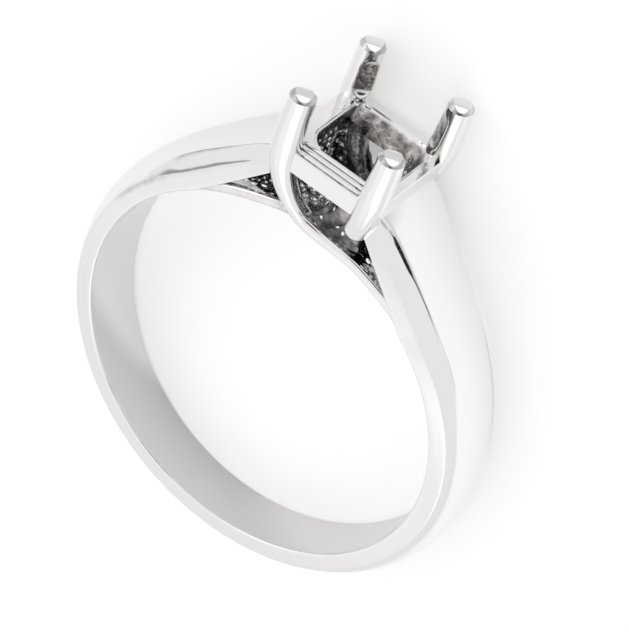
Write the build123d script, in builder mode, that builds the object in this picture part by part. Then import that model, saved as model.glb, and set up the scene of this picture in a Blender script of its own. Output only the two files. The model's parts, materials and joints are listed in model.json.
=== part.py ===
import os
from math import cos, radians, sin

from build123d import *

# A four-prong solitaire ring mounting, cast in one piece and polished.
# It is drawn with the finger hole's centre at the origin, the finger along Z, the head towards +Y
# and the front towards +Z. At the end it is laid on its back, as a ring lies on a table.

# Finger hole and shank, in millimetres
BORE_DIAMETER = 17.3
SHANK_THICKNESS = 1.42
SIDE_HEIGHT = 0.80
SIDE_LEAN = 0.14
BASE_WIDTH = 2.73
TOP_WIDTH = 4.69
DOME_DROP = 0.28

# Shoulders
SHOULDER_RISE = 2.10
FLANK_HOLLOW = 0.20
GAP_TIP_ANGLE = 51.5
GAP_TOP_ABOVE_BORE = 1.95
GAP_END_BEYOND_PRONG = 0.35
FLOOR_THICKNESS = 0.42
FLOOR_WIDTH = 4.00

# Head
HEAD_HEIGHT = 6.36
PRONG_DIAMETER = 1.15
PRONG_SPREAD_X = 4.52
PRONG_SPREAD_Z = 5.06
RAIL_TOP_ABOVE_BORE = 3.60
RAIL_HEIGHT = 1.00
RAIL_WIDTH_X = 5.20
RAIL_WIDTH_Z = 5.56
RAIL_CORNER = 0.60
SEAT_OPENING_X = 2.90
SEAT_OPENING_Z = 3.20
SEAT_BEVEL = 0.30
STRAND_HEIGHT = 0.52
STRAND_DEPTH = 0.80
STRAND_ROUNDING = 0.22

# How far the head end is lifted so that the prongs and the foot of the shank touch the table
REST_TILT = 5.2

BORE_RADIUS = BORE_DIAMETER / 2
BORE_STOCK = 0.4
PRONG_ROUNDNESS = 0.46

# Shank sections from the foot of the ring at -90 degrees to the head. Corner and crest are shares of
# the shoulder rise, edge is a share of the half width, drop of the dome drop and hollow of the
# flank hollow.
# angle, corner, edge, crest, drop, hollow
SECTIONS = (
    (-90, 0.00, 0.66, 0.00, 1.00, -0.11),
    (-70, 0.00, 0.66, 0.00, 1.00, -0.11),
    (-50, 0.00, 0.66, 0.00, 1.00, -0.11),
    (-30, 0.00, 0.66, 0.00, 1.00, -0.11),
    (-12, 0.00, 0.66, 0.00, 1.00, -0.11),
    (4, -0.04, 0.66, 0.00, 1.02, -0.12),
    (20, -0.08, 0.66, 0.00, 1.12, -0.13),
    (35, -0.07, 0.67, 0.01, 1.02, -0.10),
    (48, 0.01, 0.68, 0.09, 0.75, 0.05),
    (56, 0.10, 0.69, 0.18, 0.50, 0.45),
    (62, 0.26, 0.69, 0.31, 0.33, 0.90),
    (67, 0.42, 0.72, 0.47, 0.20, 1.00),
    (71, 0.52, 0.78, 0.63, 0.13, 0.70),
    (75, 0.60, 0.88, 0.77, 0.10, 0.20),
    (79, 0.66, 0.96, 0.85, 0.08, 0.10),
)

# A prong from its tip down: across and height are shares of half the prong spread and of the head
# height, front of half the other spread, and size of the prong diameter.
# across, height, front, size
PRONG_TOP = (
    (1.00, 1.000, 1.00, 0.50),
    (1.00, 0.988, 1.00, 0.78),
    (1.00, 0.960, 1.00, 0.95),
    (1.00, 0.925, 1.00, 1.02),
    (0.99, 0.760, 1.00, 1.08),
    (0.98, 0.590, 0.99, 1.14),
)

# The outer prong bends inwards and thins into the strand. Wide and high are shares of the prong
# diameter.
# across, height, front, wide, high
OUTER_BEND = (
    (0.92, 0.420, 0.97, 1.10, 1.04),
    (0.75, 0.275, 0.94, 0.95, 0.86),
    (0.47, 0.150, 0.90, 0.78, 0.64),
    (0.12, 0.060, 0.84, 0.70, 0.62),
)

# The standing prong ends in a rounded foot.
# across, height, front, size
STANDING_FOOT = (
    (0.92, 0.420, 0.96, 1.08),
    (0.85, 0.300, 0.93, 0.96),
    (0.83, 0.250, 0.92, 0.84),
    (0.82, 0.220, 0.92, 0.52),
)

# The inner strand hangs from the rail beside that foot and passes behind the outer one.
# across, height, front
INNER_BEND = (
    (0.58, 0.480, 0.74),
    (0.53, 0.380, 0.73),
    (0.40, 0.250, 0.70),
    (0.18, 0.140, 0.66),
    (-0.14, 0.060, 0.62),
    (-0.45, 0.015, 0.62),
)

# Both strands then follow the finger hole into the shank. The fronts are shares of the half width.
# angle, front of the outer strand, front of the inner strand
STRAND_RUN = (
    (76, 0.83, 0.74),
    (69, 0.82, 0.78),
    (62, 0.80, 0.79),
    (55, 0.78, 0.78),
    (48, 0.75, 0.74),
)


def half_width(angle):
    """Half the band's width along the finger, which grows from the foot to the head."""
    climb = (1 + sin(radians(angle))) / 2
    share = 0.81 * climb + 0.19 * climb**2
    return (BASE_WIDTH + (TOP_WIDTH - BASE_WIDTH) * share) / 2


def section_plane(angle):
    """A plane through the finger axis, with its x pointing away from the axis."""
    turn = radians(angle)
    return Plane(origin=(0, 0, 0), x_dir=(cos(turn), sin(turn), 0), z_dir=(-sin(turn), cos(turn), 0))


def on_ring(angle, radius, front):
    turn = radians(angle)
    return Vector(radius * cos(turn), radius * sin(turn), front)


def head_point(across, height, front):
    """A point of the head from its shares of the head's sizes."""
    return Vector(
        across * PRONG_SPREAD_X / 2,
        BORE_RADIUS + height * HEAD_HEIGHT,
        front * PRONG_SPREAD_Z / 2,
    )


def crossing_planes(points):
    """Planes square to a route at each of its points, with x as near to the finger axis as it can be."""
    planes = []
    for index, point in enumerate(points):
        before = points[max(index - 1, 0)]
        after = points[min(index + 1, len(points) - 1)]
        along = (after - before).normalized()
        finger = Vector(0, 0, 1)
        sideways = (finger - along * finger.dot(along)).normalized()
        planes.append(Plane(origin=point, x_dir=sideways, z_dir=along))
    return planes


# Shank and shoulders: sections all the way round, open where the head stands
right_side = list(SECTIONS)
left_side = [(-180 - angle, *shares) for angle, *shares in reversed(SECTIONS[1:])]

with BuildPart() as band:
    for angle, corner, edge, crest, drop, hollow in left_side + right_side:
        half = half_width(angle)
        inner = BORE_RADIUS - BORE_STOCK
        corner_at = (BORE_RADIUS + SIDE_HEIGHT + corner * SHOULDER_RISE, half - SIDE_LEAN)
        crest_at = (BORE_RADIUS + SHANK_THICKNESS + crest * SHOULDER_RISE, 0)
        edge_at = (crest_at[0] - drop * DOME_DROP, edge * half)
        run = (edge_at[0] - corner_at[0], edge_at[1] - corner_at[1])
        length = (run[0] ** 2 + run[1] ** 2) ** 0.5
        sag = hollow * FLANK_HOLLOW / length
        flank_at = (
            (corner_at[0] + edge_at[0]) / 2 + run[1] * sag,
            (corner_at[1] + edge_at[1]) / 2 - run[0] * sag,
        )
        with BuildSketch(section_plane(angle)):
            with BuildLine():
                Line((inner, -half), (inner, half))
                Line((inner, half), corner_at)
                ThreePointArc(corner_at, flank_at, edge_at)
                ThreePointArc(edge_at, crest_at, (edge_at[0], -edge_at[1]))
                ThreePointArc(
                    (edge_at[0], -edge_at[1]),
                    (flank_at[0], -flank_at[1]),
                    (corner_at[0], -corner_at[1]),
                )
                Line((corner_at[0], -corner_at[1]), (inner, -half))
            make_face()
    loft()

# Gallery rail: a square frame with a bevelled seat
rail_bottom = BORE_RADIUS + RAIL_TOP_ABOVE_BORE - RAIL_HEIGHT
rail_plane = Plane(origin=(0, rail_bottom, 0), x_dir=(1, 0, 0), z_dir=(0, 1, 0))

with BuildPart() as rail:
    with BuildSketch(rail_plane):
        RectangleRounded(RAIL_WIDTH_X, RAIL_WIDTH_Z, RAIL_CORNER)
        Rectangle(SEAT_OPENING_X, SEAT_OPENING_Z, mode=Mode.SUBTRACT)
    extrude(amount=RAIL_HEIGHT)
    seat_edges = rail.faces().sort_by(Axis.Y)[-1].inner_wires()[0].edges()
    chamfer(seat_edges, SEAT_BEVEL)

# Outer strand with its prong: front left prong to the right side of the shank
strand_stock = STRAND_HEIGHT + BORE_STOCK
strand_radius = BORE_RADIUS - BORE_STOCK + strand_stock / 2
outer_sizes = [(size, size) for *_, size in PRONG_TOP]
outer_sizes += [(wide, high) for *_, wide, high in OUTER_BEND]
outer_sizes = [(wide * PRONG_DIAMETER, high * PRONG_DIAMETER) for wide, high in outer_sizes]
outer_sizes += [(STRAND_DEPTH, strand_stock)] * len(STRAND_RUN)
outer_points = [head_point(-row[0], row[1], row[2]) for row in PRONG_TOP + OUTER_BEND]
outer_points += [
    on_ring(angle, strand_radius, front * half_width(angle)) for angle, front, _ in STRAND_RUN
]

with BuildPart() as outer_strand:
    for plane, (wide, high) in zip(crossing_planes(outer_points), outer_sizes):
        with BuildSketch(plane):
            RectangleRounded(wide, high, PRONG_ROUNDNESS * min(wide, high))
    loft()

# Standing prong on its rounded foot: front right
standing_points = [head_point(*row[:3]) for row in PRONG_TOP + STANDING_FOOT]

with BuildPart() as standing_prong:
    for plane, row in zip(crossing_planes(standing_points), PRONG_TOP + STANDING_FOOT):
        size = row[3] * PRONG_DIAMETER
        with BuildSketch(plane):
            RectangleRounded(size, size, PRONG_ROUNDNESS * size)
    loft()

# Inner strand: from the rail beside that foot to the left side of the shank
inner_points = [head_point(*row) for row in INNER_BEND]
inner_points += [
    on_ring(180 - angle, strand_radius, front * half_width(angle)) for angle, _, front in STRAND_RUN
]

with BuildPart() as inner_strand:
    for plane in crossing_planes(inner_points):
        with BuildSketch(plane):
            RectangleRounded(STRAND_DEPTH, strand_stock, STRAND_ROUNDING)
    loft()

# The whole ring: the gap under the shoulders is cut, the head's floor is laid over the finger, the head
# is added and the finger hole is bored
half_turn = Axis.Y
gap_tip = on_ring(GAP_TIP_ANGLE, BORE_RADIUS, 0)
gap_top = BORE_RADIUS + GAP_TOP_ABOVE_BORE
gap_top_across = (PRONG_SPREAD_X - PRONG_DIAMETER) / 2 + GAP_END_BEYOND_PRONG

with BuildPart() as ring:
    add(band.part)
    with BuildSketch(Plane.XY):
        with BuildLine():
            Polyline(
                (gap_tip.X, gap_tip.Y),
                (gap_top_across, gap_top),
                (-gap_top_across, gap_top),
                (-gap_tip.X, gap_tip.Y),
                close=True,
            )
        make_face()
    extrude(amount=TOP_WIDTH, both=True, mode=Mode.SUBTRACT)
    with BuildSketch(Plane.XY):
        Circle(BORE_RADIUS + FLOOR_THICKNESS)
        with Locations((0, gap_tip.Y)):
            Rectangle(BORE_DIAMETER, gap_top, align=(Align.CENTER, Align.MIN), mode=Mode.INTERSECT)
    extrude(amount=FLOOR_WIDTH / 2, both=True)
    add(rail.part)
    for piece in (outer_strand, standing_prong, inner_strand):
        add(piece.part)
        add(piece.part.rotate(half_turn, 180))
    with BuildSketch(Plane.XY):
        Circle(BORE_RADIUS)
    extrude(amount=TOP_WIDTH, both=True, mode=Mode.SUBTRACT)

# Laid on its back on the table
tilted = ring.part.rotate(Axis.X, REST_TILT)
tilted_box = tilted.bounding_box()

with BuildPart() as ring_mounting:
    add(tilted.moved(Location((0, -tilted_box.center().Y, -tilted_box.min.Z))))

ring_mounting.part.label = "ring_mounting"
os.makedirs("parts", exist_ok=True)
export_step(ring_mounting.part, "parts/ring_mounting.step")
print("solids", len(ring_mounting.part.solids()))
print("volume", round(ring_mounting.part.volume, 2), "cubic mm")
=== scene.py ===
# %% [markdown]
# # A solitaire ring mounting in polished white gold
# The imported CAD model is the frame. It says where the finger hole is, how large it is and which way the
# head points. Everything here is drawn round that hole and laid over the CAD solid.

import json
from math import asin, atan2, cos, degrees, exp, hypot, log, pi, radians, sin, tan

import bmesh
import bpy
from mathutils import Matrix, Vector
from mathutils import noise as solid_noise


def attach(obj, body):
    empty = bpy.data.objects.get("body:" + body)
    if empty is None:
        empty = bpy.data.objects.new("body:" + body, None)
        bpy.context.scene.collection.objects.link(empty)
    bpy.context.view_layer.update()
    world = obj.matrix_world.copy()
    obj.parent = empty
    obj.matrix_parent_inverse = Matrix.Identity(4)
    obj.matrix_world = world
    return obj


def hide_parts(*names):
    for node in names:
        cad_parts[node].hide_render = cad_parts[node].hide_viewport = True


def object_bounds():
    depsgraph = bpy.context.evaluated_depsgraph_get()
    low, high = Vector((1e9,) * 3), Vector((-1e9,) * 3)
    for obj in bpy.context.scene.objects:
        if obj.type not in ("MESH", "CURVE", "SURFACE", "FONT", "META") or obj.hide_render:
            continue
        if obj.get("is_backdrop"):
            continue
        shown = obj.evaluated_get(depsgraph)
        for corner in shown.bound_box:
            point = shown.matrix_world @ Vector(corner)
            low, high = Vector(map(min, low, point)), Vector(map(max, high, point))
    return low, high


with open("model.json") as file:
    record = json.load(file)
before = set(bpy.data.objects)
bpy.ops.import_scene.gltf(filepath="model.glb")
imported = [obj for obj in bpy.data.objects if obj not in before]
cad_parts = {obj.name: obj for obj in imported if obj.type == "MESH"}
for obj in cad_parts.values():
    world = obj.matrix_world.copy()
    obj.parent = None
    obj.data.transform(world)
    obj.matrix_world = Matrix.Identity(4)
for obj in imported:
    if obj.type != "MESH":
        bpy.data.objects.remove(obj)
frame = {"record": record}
cad_low, cad_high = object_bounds()
print("CAD box in mm", [round(1000 * size, 2) for size in cad_high - cad_low])

# %% [markdown]
# ## Where the ring lies
# A ring is easiest to draw about its own finger hole, in millimetres: x across, y up to the head and z out
# of its front. The record's two mounts give that frame, because the ring lies on its back with the head
# end a little raised. One matrix then carries every finished mesh to its place in metres.

# %% The ring's own frame
mounts = {mount["name"]: mount for mount in frame["record"]["mounts"]}
BORE_RADIUS = mounts["finger_hole"]["dims"]["r_mm"]
bore_centre = Vector(mounts["finger_hole"]["pos_m"])
finger_way = Vector(mounts["finger_hole"]["axis"]).normalized()
head_way = Vector(mounts["stone_seat"]["axis"]).normalized()
across_way = head_way.cross(finger_way).normalized()

PLACE = Matrix.Translation(bore_centre) @ Matrix((across_way, head_way, finger_way)).transposed().to_4x4()
PLACE = PLACE @ Matrix.Scale(0.001, 4)
print("bore radius", BORE_RADIUS, "mm, head raised", round(head_way.z, 4))

# %% [markdown]
# ## Meshes
# Each piece is a closed shell of quads, so that the mirror polish has even faces to reflect in. A shell is
# a row of loops, each with the same number of points, joined one to the next. Primitives joined by
# booleans would be quicker to make, but their long thin triangles show as creases in a mirror.


# %% Mesh helpers
def shell(name, loops, closed=False):
    """A mesh through loops of points, in the ring's frame, with its two ends capped unless it closes."""
    count = len(loops[0])
    points = [point for loop in loops for point in loop]
    faces = []
    spans = len(loops) if closed else len(loops) - 1
    for span in range(spans):
        here = span * count
        there = (span + 1) % len(loops) * count
        for index in range(count):
            following = (index + 1) % count
            faces.append((here + index, here + following, there + following, there + index))
    if not closed:
        faces.append(tuple(reversed(range(count))))
        faces.append(tuple(range(len(points) - count, len(points))))
    mesh = bpy.data.meshes.new(name)
    mesh.from_pydata(points, [], faces)
    outward = bmesh.new()
    outward.from_mesh(mesh)
    bmesh.ops.recalc_face_normals(outward, faces=outward.faces)
    outward.to_mesh(mesh)
    outward.free()
    return mesh


def smooth_by_angle(mesh, limit):
    """Smooth shading everywhere except across edges sharper than the limit, in degrees."""
    mesh.polygons.foreach_set("use_smooth", [True] * len(mesh.polygons))
    mesh.set_sharp_from_angle(angle=radians(limit))


def mark(mesh, name, share):
    """Stores a share from 0 to 1 on each point: how far it is left as cast, or blackened as painted shade.
    """
    stored = mesh.attributes.new(name, "FLOAT", "POINT")
    stored.data.foreach_set("value", [share(point.co, point.normal) for point in mesh.vertices])


def finish_piece(name, mesh, material, place=PLACE):
    """Carries a mesh to its place, gives it its metal and makes it part of the ring."""
    mesh.transform(place)
    mesh.materials.clear()
    mesh.materials.append(material)
    piece = bpy.data.objects.new(name, mesh)
    bpy.context.scene.collection.objects.link(piece)
    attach(piece, "root")
    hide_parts("ring_mounting")
    size = [round(1000 * side, 2) for side in piece.dimensions]
    print(name, "faces", len(mesh.polygons), "size in mm", size)
    return piece


# %% [markdown]
# Sizes that change along the ring are read from short tables. Straight lines between the rows would show
# as facets in the polish, and a free spline as waves, so the curve through the rows never runs past them.


# %% Curves through table rows
def clamp(value):
    """The value, kept between 0 and 1."""
    return min(max(value, 0), 1)


def column(rows, index):
    """One column of a table of rows."""
    return [row[index] for row in rows]


def flowing(stations, values, at):
    """A smooth curve through the values that doesn't overshoot them."""
    steps = [b - a for a, b in zip(stations, stations[1:])]
    rises = [(b - a) / step for a, b, step in zip(values, values[1:], steps)]
    slopes = [rises[0]]
    for index in range(1, len(rises)):
        before, after = rises[index - 1], rises[index]
        if before * after <= 0:
            slopes.append(0.0)
        else:
            weight_a = 2 * steps[index] + steps[index - 1]
            weight_b = steps[index] + 2 * steps[index - 1]
            slopes.append((weight_a + weight_b) / (weight_a / before + weight_b / after))
    slopes.append(rises[-1])
    at = min(max(at, stations[0]), stations[-1])
    index = max(i for i in range(len(steps)) if stations[i] <= at)
    step = steps[index]
    t = (at - stations[index]) / step
    return (
        (2 * t**3 - 3 * t**2 + 1) * values[index]
        + (t**3 - 2 * t**2 + t) * step * slopes[index]
        + (3 * t**2 - 2 * t**3) * values[index + 1]
        + (t**3 - t**2) * step * slopes[index + 1]
    )


print("halfway up a soft step", round(flowing((0, 1, 2, 3), (0, 0, 1, 1), 1.5), 3))

# %% [markdown]
# ## Materials
# White gold is plated with rhodium, which makes it a neutral, bright mirror. A picture of metal wrapped
# round the pieces would stretch on their bends. Noise in the metal's own millimetres doesn't, so every
# finish here is worked out from the place of a point.


# %% Node helper and colours
def used(sockets, name):
    """The socket of that name or number that the node's settings leave in use."""
    if isinstance(name, int):
        return sockets[name]
    return next(socket for socket in sockets if socket.name == name and socket.enabled)


def node(tree, kind, inputs=(), **settings):
    """Adds a node with its settings, and each named input takes a value or a link."""
    made = tree.nodes.new(kind)
    for name, value in settings.items():
        setattr(made, name, value)
    for name, value in dict(inputs).items():
        if isinstance(value, bpy.types.NodeSocket):
            tree.links.new(value, used(made.inputs, name))
        else:
            used(made.inputs, name).default_value = value
    return made


def linear(hex_colour):
    """An sRGB hex colour as the linear colour that the shader expects."""
    parts = [int(hex_colour[i : i + 2], 16) / 255 for i in (1, 3, 5)]
    return tuple(c / 12.92 if c <= 0.04045 else ((c + 0.055) / 1.055) ** 2.4 for c in parts) + (1.0,)


print("polished white gold in linear colour", [round(part, 2) for part in linear("#F2F1F0")])

# %% [markdown]
# The polishing wheel leaves a mirror with a faint waviness and hairlines far finer than a pixel, which
# only soften its reflections, so they are drawn wide enough to do that. Inside the head no wheel reaches:
# the metal keeps the grey, grainy skin of the plaster mould. Its hollows and corners are painted black
# as shade. One recipe makes both, and a mesh says by its attributes where each of them lies.

# %% White gold
# the near-black is painted shade, for hollows, corners and furrows
POLISHED, SHADE_BLACK = "#F2F1F0", "#0D0B0A"
SKIN_DARK, SKIN_LIGHT = "#6E6A68", "#DAD7D5"
# spacing and height in millimetres
WHEEL_WAVE, WHEEL_WAVE_HEIGHT = 2.6, 0.004
CAST_GRAIN, CAST_GRAIN_HEIGHT = 0.30, 0.07
# the hairlines run along the finger hole, so that way they are this much longer
HAIRLINE_STRETCH = 12.5
# spacing in millimetres and detail of a noise, and the two values that its middle range is spread over:
# the skin's roughness, how light its stain is, how dark the painted shade blotches are, and the polish's
# roughness
PATTERNS = {
    "grain": (CAST_GRAIN, 3, 0.14, 0.34),
    "stain": (2.2 * CAST_GRAIN, 2, 0.0, 1.0),
    "shade_blotches": (1.5 * CAST_GRAIN, 2, 0.55, 1.0),
    "hairlines": (0.10, 2, 0.05, 0.11),
}
NOISE_MIDDLE = (0.32, 0.68)


def white_gold(name, cast_everywhere):
    """Polished metal that turns to cast skin where a mesh says so, or cast skin all over."""
    metal = bpy.data.materials.new(name)
    metal.use_nodes = True
    tree = metal.node_tree
    tree.nodes.clear()
    metres = node(tree, "ShaderNodeTexCoord").outputs["Object"]
    place = node(tree, "ShaderNodeVectorMath", {0: metres, "Scale": 1000}, operation="SCALE").outputs[0]
    drawn = {"Vector": place, "Scale": (1, 1, 1 / HAIRLINE_STRETCH)}

    noise, share = {}, {}
    for label, (spacing, detail, low, high) in PATTERNS.items():
        at = place
        if label == "hairlines":
            if cast_everywhere:
                continue
            at = node(tree, "ShaderNodeMapping", drawn).outputs[0]
        pattern = {"Vector": at, "Scale": 1 / spacing, "Detail": detail}
        noise[label] = node(tree, "ShaderNodeTexNoise", pattern).outputs[0]
        ends = {"From Min": NOISE_MIDDLE[0], "From Max": NOISE_MIDDLE[1], "To Min": low, "To Max": high}
        share[label] = node(tree, "ShaderNodeMapRange", {"Value": noise[label], **ends}).outputs[0]

    # the cast skin, stained by the plaster, and the painted shade that blackens it in blotches
    skin, rough = 1.0, share["grain"]
    if not cast_everywhere:
        skin = node(tree, "ShaderNodeAttribute", attribute_name="cast_skin").outputs["Fac"]
    grains = {"Strength": skin, "Height": noise["grain"], "Distance": CAST_GRAIN_HEIGHT / 1000}
    bump = node(tree, "ShaderNodeBump", grains).outputs[0]
    stained = {"Factor": share["stain"], "A": linear(SKIN_DARK), "B": linear(SKIN_LIGHT)}
    colour = used(node(tree, "ShaderNodeMix", stained, data_type="RGBA").outputs, "Result")
    painted_shade = node(tree, "ShaderNodeAttribute", attribute_name="painted_shade").outputs["Fac"]
    painted_shade = node(tree, "ShaderNodeMath", {0: painted_shade, 1: share["shade_blotches"]}, operation="MULTIPLY").outputs[0]
    blackened = {"Factor": painted_shade, "A": colour, "B": linear(SHADE_BLACK)}
    colour = used(node(tree, "ShaderNodeMix", blackened, data_type="RGBA").outputs, "Result")

    if not cast_everywhere:
        either = node(tree, "ShaderNodeMath", {0: skin, 1: painted_shade}, operation="MAXIMUM").outputs[0]
        bright = {"Factor": either, "A": linear(POLISHED), "B": colour}
        colour = used(node(tree, "ShaderNodeMix", bright, data_type="RGBA").outputs, "Result")
        fine = {"Factor": skin, "A": share["hairlines"], "B": rough}
        rough = used(node(tree, "ShaderNodeMix", fine, data_type="FLOAT").outputs, "Result")
        long_wave = {"Vector": place, "Scale": 1 / WHEEL_WAVE, "Detail": 1}
        wave = node(tree, "ShaderNodeTexNoise", long_wave).outputs[0]
        wheel = {"Height": wave, "Normal": bump, "Distance": WHEEL_WAVE_HEIGHT / 1000}
        bump = node(tree, "ShaderNodeBump", wheel).outputs[0]

    finish = {"Base Color": colour, "Roughness": rough, "Metallic": 1.0, "Normal": bump}
    shader = node(tree, "ShaderNodeBsdfPrincipled", finish)
    node(tree, "ShaderNodeOutputMaterial", {"Surface": shader.outputs[0]})
    print(name, "nodes", len(tree.nodes))
    return metal


polished = white_gold("white_gold_rhodium_plated_and_polished", False)
as_cast = white_gold("white_gold_as_cast", True)

# %% [markdown]
# ## Shank and shoulders
# The band has a flat inside, low flat sides and a domed back. Towards the head it widens, a flat top
# grows out of the dome, the flanks below it turn hollow, and a thin gap opens under each shoulder. It
# could be cut from a ring with other shapes. One outline that changes as it is swept round is surer,
# because each of its corners is rounded by its own amount: nearly none at the edge of the flat top, and
# all of the way at the dome of the lower shank.

# %% Band sizes
# angle from the finger hole's right, side corner, top edge and crest radius, half width of the top as a
# share of the half width, depth of the cove above the side corner, how far the top edge is rounded off
# into the flank and into the top, in millimetres, and how flat that rounding is filed, from 0 to 1
BAND_ROWS = (
    (-90, 9.45, 9.79, 10.07, 0.66, 0.000, 0.55, 0.550, 0.0),
    (-12, 9.45, 9.79, 10.07, 0.66, 0.000, 0.55, 0.550, 0.0),
    (4, 9.44, 9.78, 10.07, 0.66, 0.000, 0.55, 0.550, 0.0),
    (20, 9.42, 9.77, 10.07, 0.66, 0.000, 0.52, 0.490, 0.0),
    (35, 9.39, 9.81, 10.10, 0.67, 0.006, 0.42, 0.320, 0.0),
    (48, 9.41, 10.02, 10.25, 0.68, 0.038, 0.20, 0.070, 0.0),
    (56, 9.62, 10.27, 10.45, 0.69, 0.042, 0.13, 0.030, 0.0),
    (62, 9.92, 10.55, 10.72, 0.71, 0.048, 0.10, 0.030, 0.3),
    (66, 10.16, 10.81, 10.98, 0.735, 0.056, 0.13, 0.050, 0.95),
    (71, 10.53, 11.22, 11.39, 0.78, 0.076, 0.14, 0.080, 0.95),
    (72.6, 10.65, 11.36, 11.51, 0.80, 0.070, 0.16, 0.090, 0.8),
    (74.5, 10.79, 11.53, 11.65, 0.83, 0.020, 0.34, 0.210, 0.0),
    (79, 11.00, 11.80, 11.86, 0.91, 0.000, 0.40, 0.290, 0.0),
)
band_angles = column(BAND_ROWS, 0)
BASE_WIDTH = 2.66
TOP_WIDTH = 4.69
# the share of the widening that follows the ring's height, while the rest comes late
EVEN_WIDENING = 0.81
GAP_TIP_ANGLE = 51.5
GAP_END = (2.04, 10.60)


def ring_point(angle, radius, front):
    """A point of the ring's frame from its angle and radius about the finger hole."""
    return Vector((radius * cos(radians(angle)), radius * sin(radians(angle)), front))


def half_width(angle):
    """Half of the band's width, which grows from the foot to the head."""
    climb = (1 + sin(radians(angle))) / 2
    share = EVEN_WIDENING * climb + (1 - EVEN_WIDENING) * climb**2
    return (BASE_WIDTH + (TOP_WIDTH - BASE_WIDTH) * share) / 2


def underside(angle):
    """The radius of the band's inside, which leaves the finger hole at the tip of the gap."""
    if angle <= GAP_TIP_ANGLE:
        return BORE_RADIUS
    tip = ring_point(GAP_TIP_ANGLE, BORE_RADIUS, 0)
    run = Vector((*GAP_END, 0)) - tip
    way = ring_point(angle, 1, 0)
    return (tip.x * run.y - tip.y * run.x) / (way.x * run.y - way.y * run.x)


ends = (band_angles[0], band_angles[-1])
print("width in mm from foot to head", [round(2 * half_width(angle), 2) for angle in ends])

# %% Flanks and corners
FLANK_BULGE = 0.012
FLANK_STEPS = 60
# a cove is deepest near this reach above the side corner, at two thirds of its row's depth
COVE_REACH = 0.20
COVE_TAIL = 1.6


def flank_path(start, end, cove):
    """A slightly swollen line from the side corner to the top edge, with a fine cove above the corner."""
    run = end - start
    inwards = Vector((run.y, -run.x)).normalized()
    points = []
    for i in range(FLANK_STEPS + 1):
        t = i / FLANK_STEPS
        reach = run.length * t / COVE_REACH
        sink = cove * reach * exp(-((reach / COVE_TAIL) ** 2)) - 4 * FLANK_BULGE * t * (1 - t)
        points.append(start + run * t + inwards * sink)
    return points


def trimmed(path, start_cut, end_cut, count):
    """The path without its two ends, as evenly spaced points."""
    runs = [(b - a).length for a, b in zip(path, path[1:])]
    total = sum(runs)
    points = []
    for i in range(count + 1):
        want = start_cut + (total - start_cut - end_cut) * i / count
        index = 0
        while index < len(runs) - 1 and want > runs[index]:
            want -= runs[index]
            index += 1
        points.append(path[index].lerp(path[index + 1], want / runs[index]))
    return points


def rounded(start, corner, end, count, filed=0.0):
    """The points between start and end on a curve that turns at the corner, or on its filed flat."""
    points = []
    for i in range(1, count):
        t = i / count
        curve = start * (1 - t) ** 2 + corner * (2 * t * (1 - t)) + end * t**2
        points.append(curve.lerp(start.lerp(end, t), filed))
    return points


sample = flank_path(Vector((10.5, 2.1)), Vector((11.2, 1.8)), 0.07)
print("flank points", len(sample), "and after trimming", len(trimmed(sample, 0.1, 0.1, 34)))

# %% Band outline
SIDE_LEAN = 0.14
INNER_EDGE_ROUND = 0.12
SIDE_CORNER_ROUND = 0.04
INSIDE_POINTS, SIDE_POINTS, FLANK_POINTS, DOME_POINTS = 6, 3, 34, 12
CREST_STEPS = 16
ROUND_POINTS = 7
# a corner's rounding takes at most this share of the stretch beside it
ROUND_LIMIT = 0.42
# by hand, the cove on the right was filed shallower and the top edge on the left kept sharper
RIGHT_COVE = 0.25
LEFT_EDGE = 0.35
HAND_FROM, HAND_TO = 35, 48


def band_outline(angle, way):
    """Half of the outline, from the middle of the inside to the crest, as radius and offset."""
    corner, edge, crest, share, cove, flank_cut, top_cut, filed = (
        flowing(band_angles, column(BAND_ROWS, i), angle) for i in range(1, 9)
    )
    if way > 0:
        cove = cove * RIGHT_COVE
    else:
        kept = 1 - (1 - LEFT_EDGE) * clamp((angle - HAND_FROM) / (HAND_TO - HAND_FROM))
        flank_cut, top_cut, filed = flank_cut * kept, top_cut * kept, 0
    half = half_width(angle)
    inside = underside(angle)
    corner_point = Vector((corner, half - SIDE_LEAN))
    edge_point = Vector((edge, share * half))
    falls = [1 - i / CREST_STEPS for i in range(CREST_STEPS + 1)]
    paths = [
        [Vector((inside, 0)), Vector((inside, half))],
        [Vector((inside, half)), corner_point],
        flank_path(corner_point, edge_point, cove),
        [Vector((crest - (crest - edge) * fall**2, share * half * fall)) for fall in falls],
    ]
    lengths = [sum((b - a).length for a, b in zip(path, path[1:])) for path in paths]
    ends = (INNER_EDGE_ROUND, SIDE_CORNER_ROUND, flank_cut, 0)
    starts = (0, INNER_EDGE_ROUND, SIDE_CORNER_ROUND, top_cut)
    counts = (INSIDE_POINTS, SIDE_POINTS, FLANK_POINTS, DOME_POINTS)
    stretches = [
        trimmed(path, min(before, ROUND_LIMIT * length), min(after, ROUND_LIMIT * length), count)
        for path, length, before, after, count in zip(paths, lengths, starts, ends, counts)
    ]
    points = list(stretches[0])
    for i in range(3):
        flat = filed if i == 2 else 0
        points += rounded(stretches[i][-1], paths[i][-1], stretches[i + 1][0], ROUND_POINTS, flat)
        points += stretches[i + 1]
    return points


print("points in half an outline", len(band_outline(0, 1)))

# %% Band mesh
SECTION_STEP = 0.6


def band_loop(angle, way):
    """The closed outline at one angle of the right side, or of its mirror image on the left."""
    front = band_outline(angle, way)
    back = [Vector((point.x, -point.y)) for point in reversed(front[1:-1])]
    loop = [ring_point(angle, point.x, point.y) for point in front + back]
    return [Vector((way * point.x, point.y, point.z)) for point in loop]


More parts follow.
